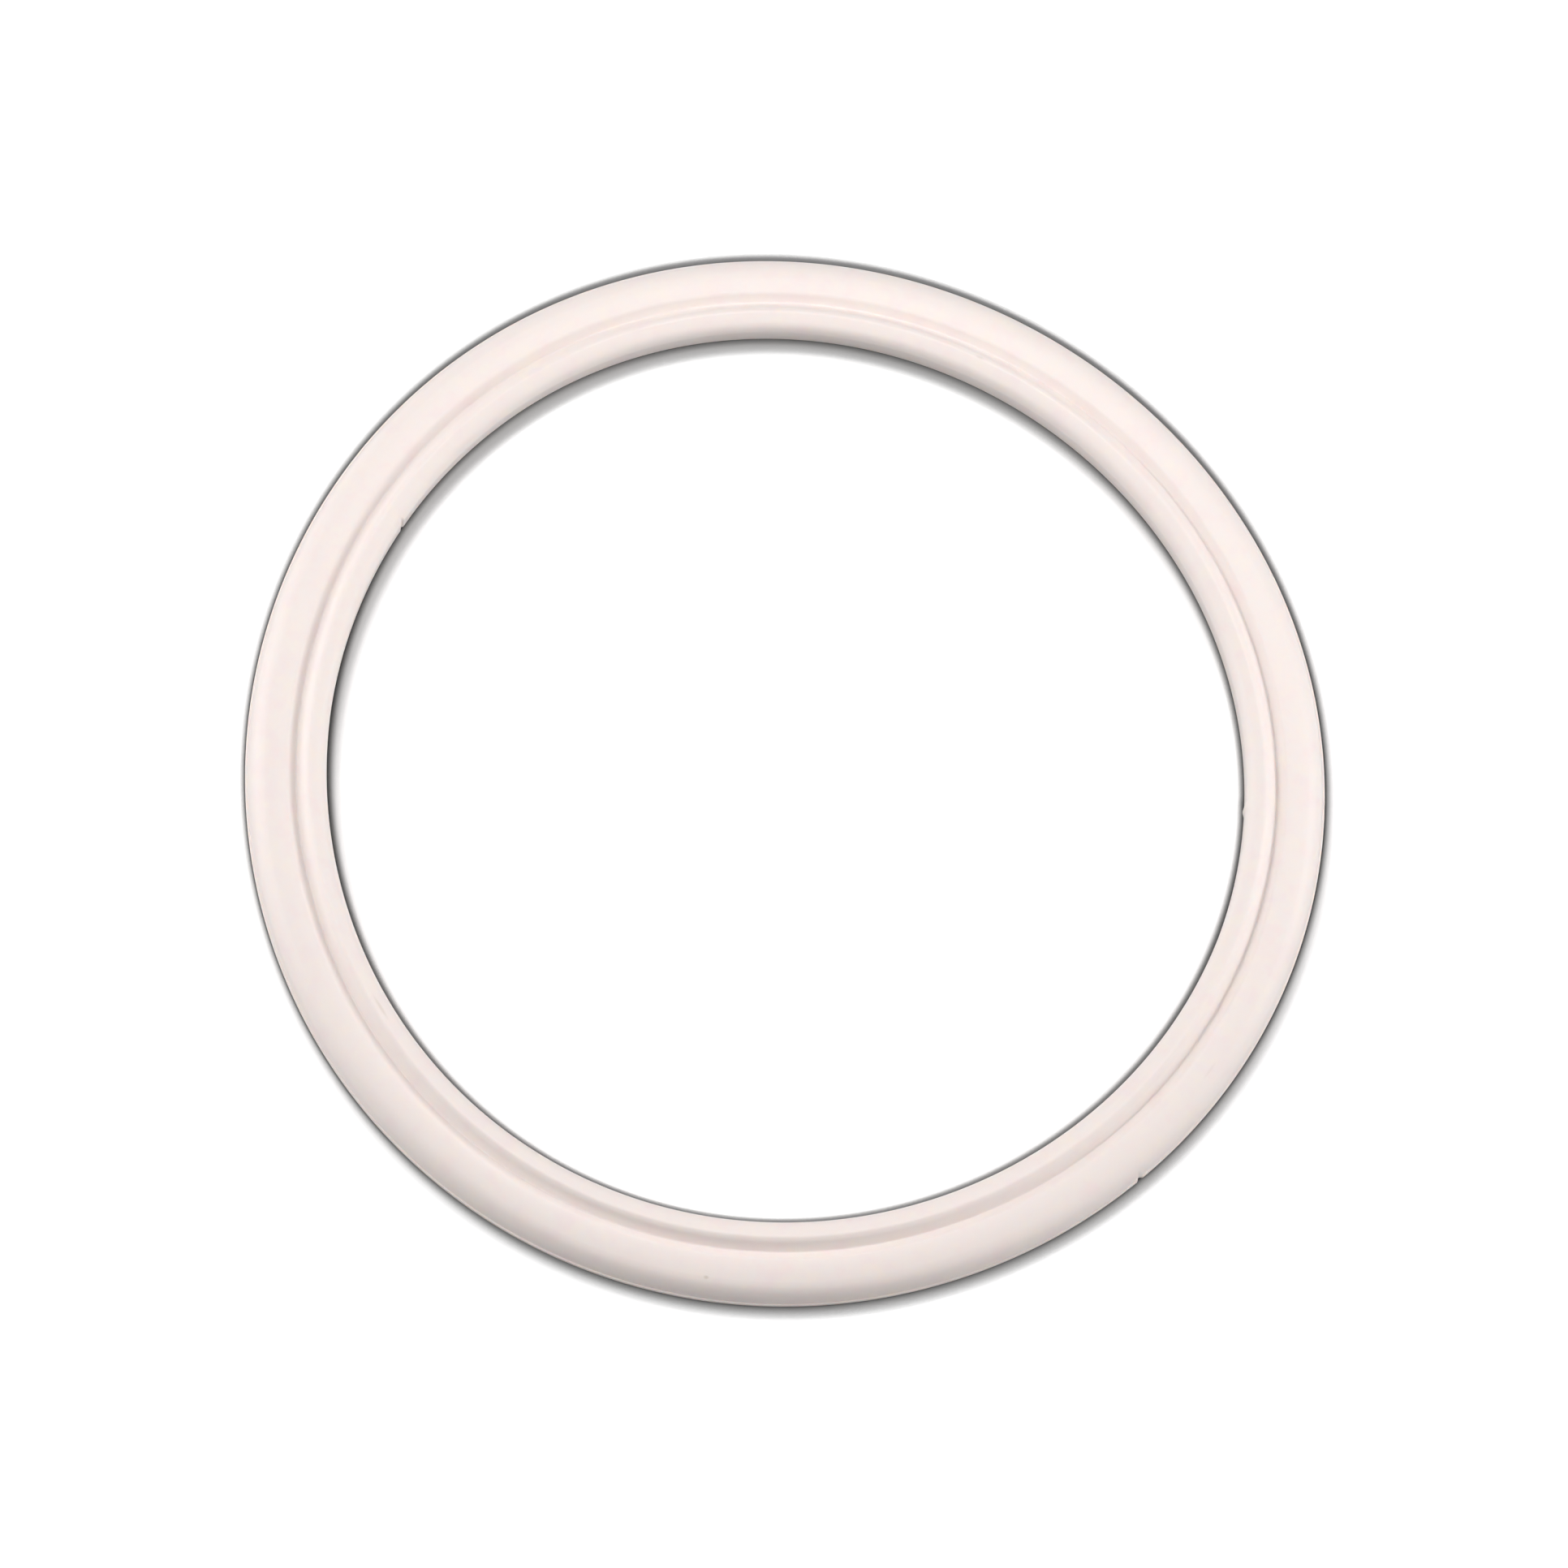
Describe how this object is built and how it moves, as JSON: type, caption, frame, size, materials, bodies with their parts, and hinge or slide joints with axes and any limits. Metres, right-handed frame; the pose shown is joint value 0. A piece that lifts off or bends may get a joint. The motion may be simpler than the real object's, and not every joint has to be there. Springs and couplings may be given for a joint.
{
  "type": "o-ring",
  "caption": "Round white rubber sealing ring with a flat base, a low outer lip, a broad crowned band, a groove and a taller rounded inner bead; seals a lid or bowl to its housing.",
  "frame": {"origin": "on the ring's axis, at the level of its flat base", "axes": "+Z is the ring's axis and points from the flat base towards the bead; +X and +Y lie in the base's plane"},
  "size_m": [0.1714, 0.1714, 0.0058],
  "materials": {
    "white_rubber": "satin"
  },
  "bodies": {
    "root": {"sealing_ring": "white_rubber"}
  },
  "joints": []
}
